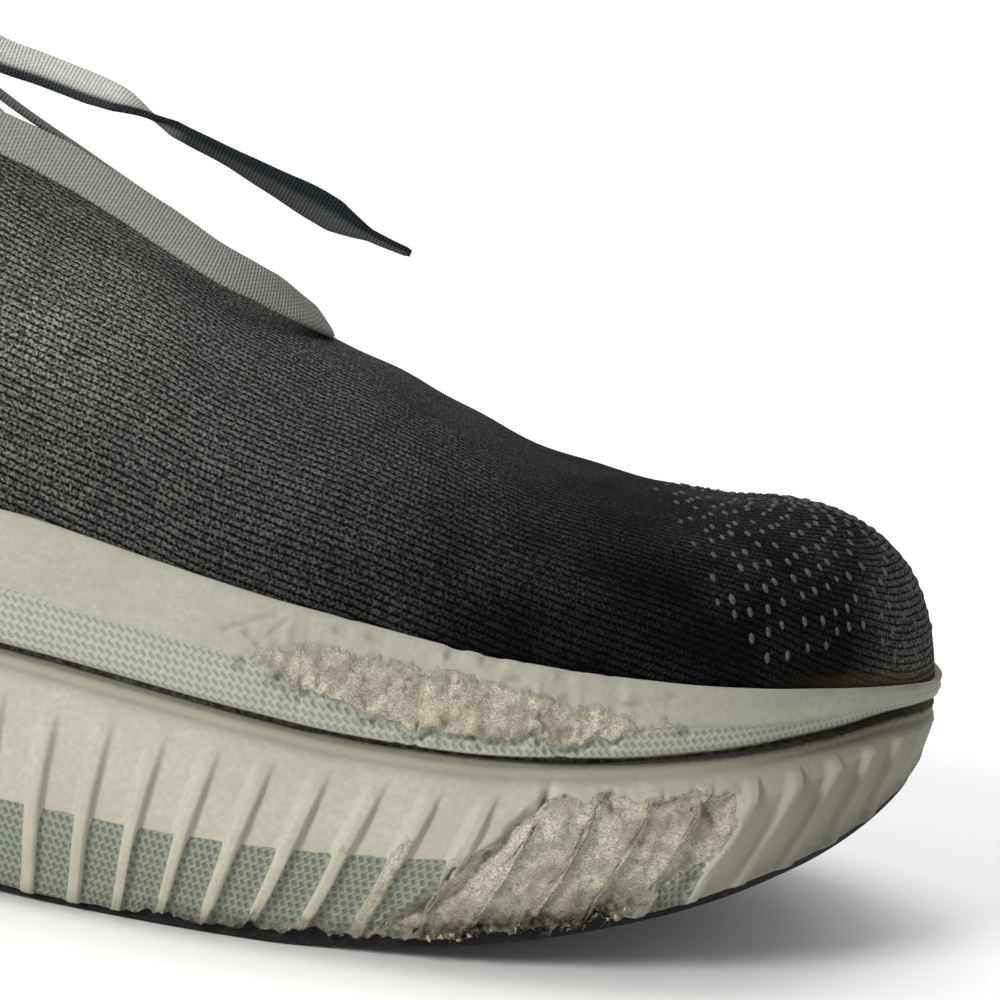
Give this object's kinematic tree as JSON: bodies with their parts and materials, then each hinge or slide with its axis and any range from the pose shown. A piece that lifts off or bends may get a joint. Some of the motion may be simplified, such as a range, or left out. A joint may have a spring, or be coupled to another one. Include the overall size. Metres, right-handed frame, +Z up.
{
  "type": "worn out sneaker",
  "caption": "Worn right running shoe: knitted upper, tongue, insole, thick two-part ribbed foam sole, thin rubber outsole and a flat lace tied in a bow.",
  "frame": {"origin": "on the floor under the middle of the shoe's outline, laces left out", "axes": "+X to the toe, -Y to the outer side of the foot, +Z up"},
  "size_m": [0.3053, 0.1152, 0.1401],
  "materials": {
    "outsole_rubber": "matte black rubber, scuffed",
    "lower_foam": "light grey-beige foam, abraded and torn at the forefoot",
    "rim_foam": "light grey-beige foam, smooth bevel over a fine textured band, scuffed",
    "insole_cloth": "dark grey cloth over foam",
    "knit": "charcoal ribbed knit, fuzzy with wear",
    "tongue_knit": "charcoal knit over thin padding",
    "lace": "flat woven grey lace"
  },
  "bodies": {
    "root": {"outsole": "outsole_rubber", "midsole_lower": "lower_foam", "midsole_rim": "rim_foam", "insole": "insole_cloth", "upper": "knit", "tongue": "tongue_knit", "lace_bars": "lace", "lace_knot": "lace", "lace_end_outer": "lace", "lace_loop_outer": "lace", "lace_loop_inner": "lace", "lace_end_inner": "lace"}
  },
  "joints": []
}
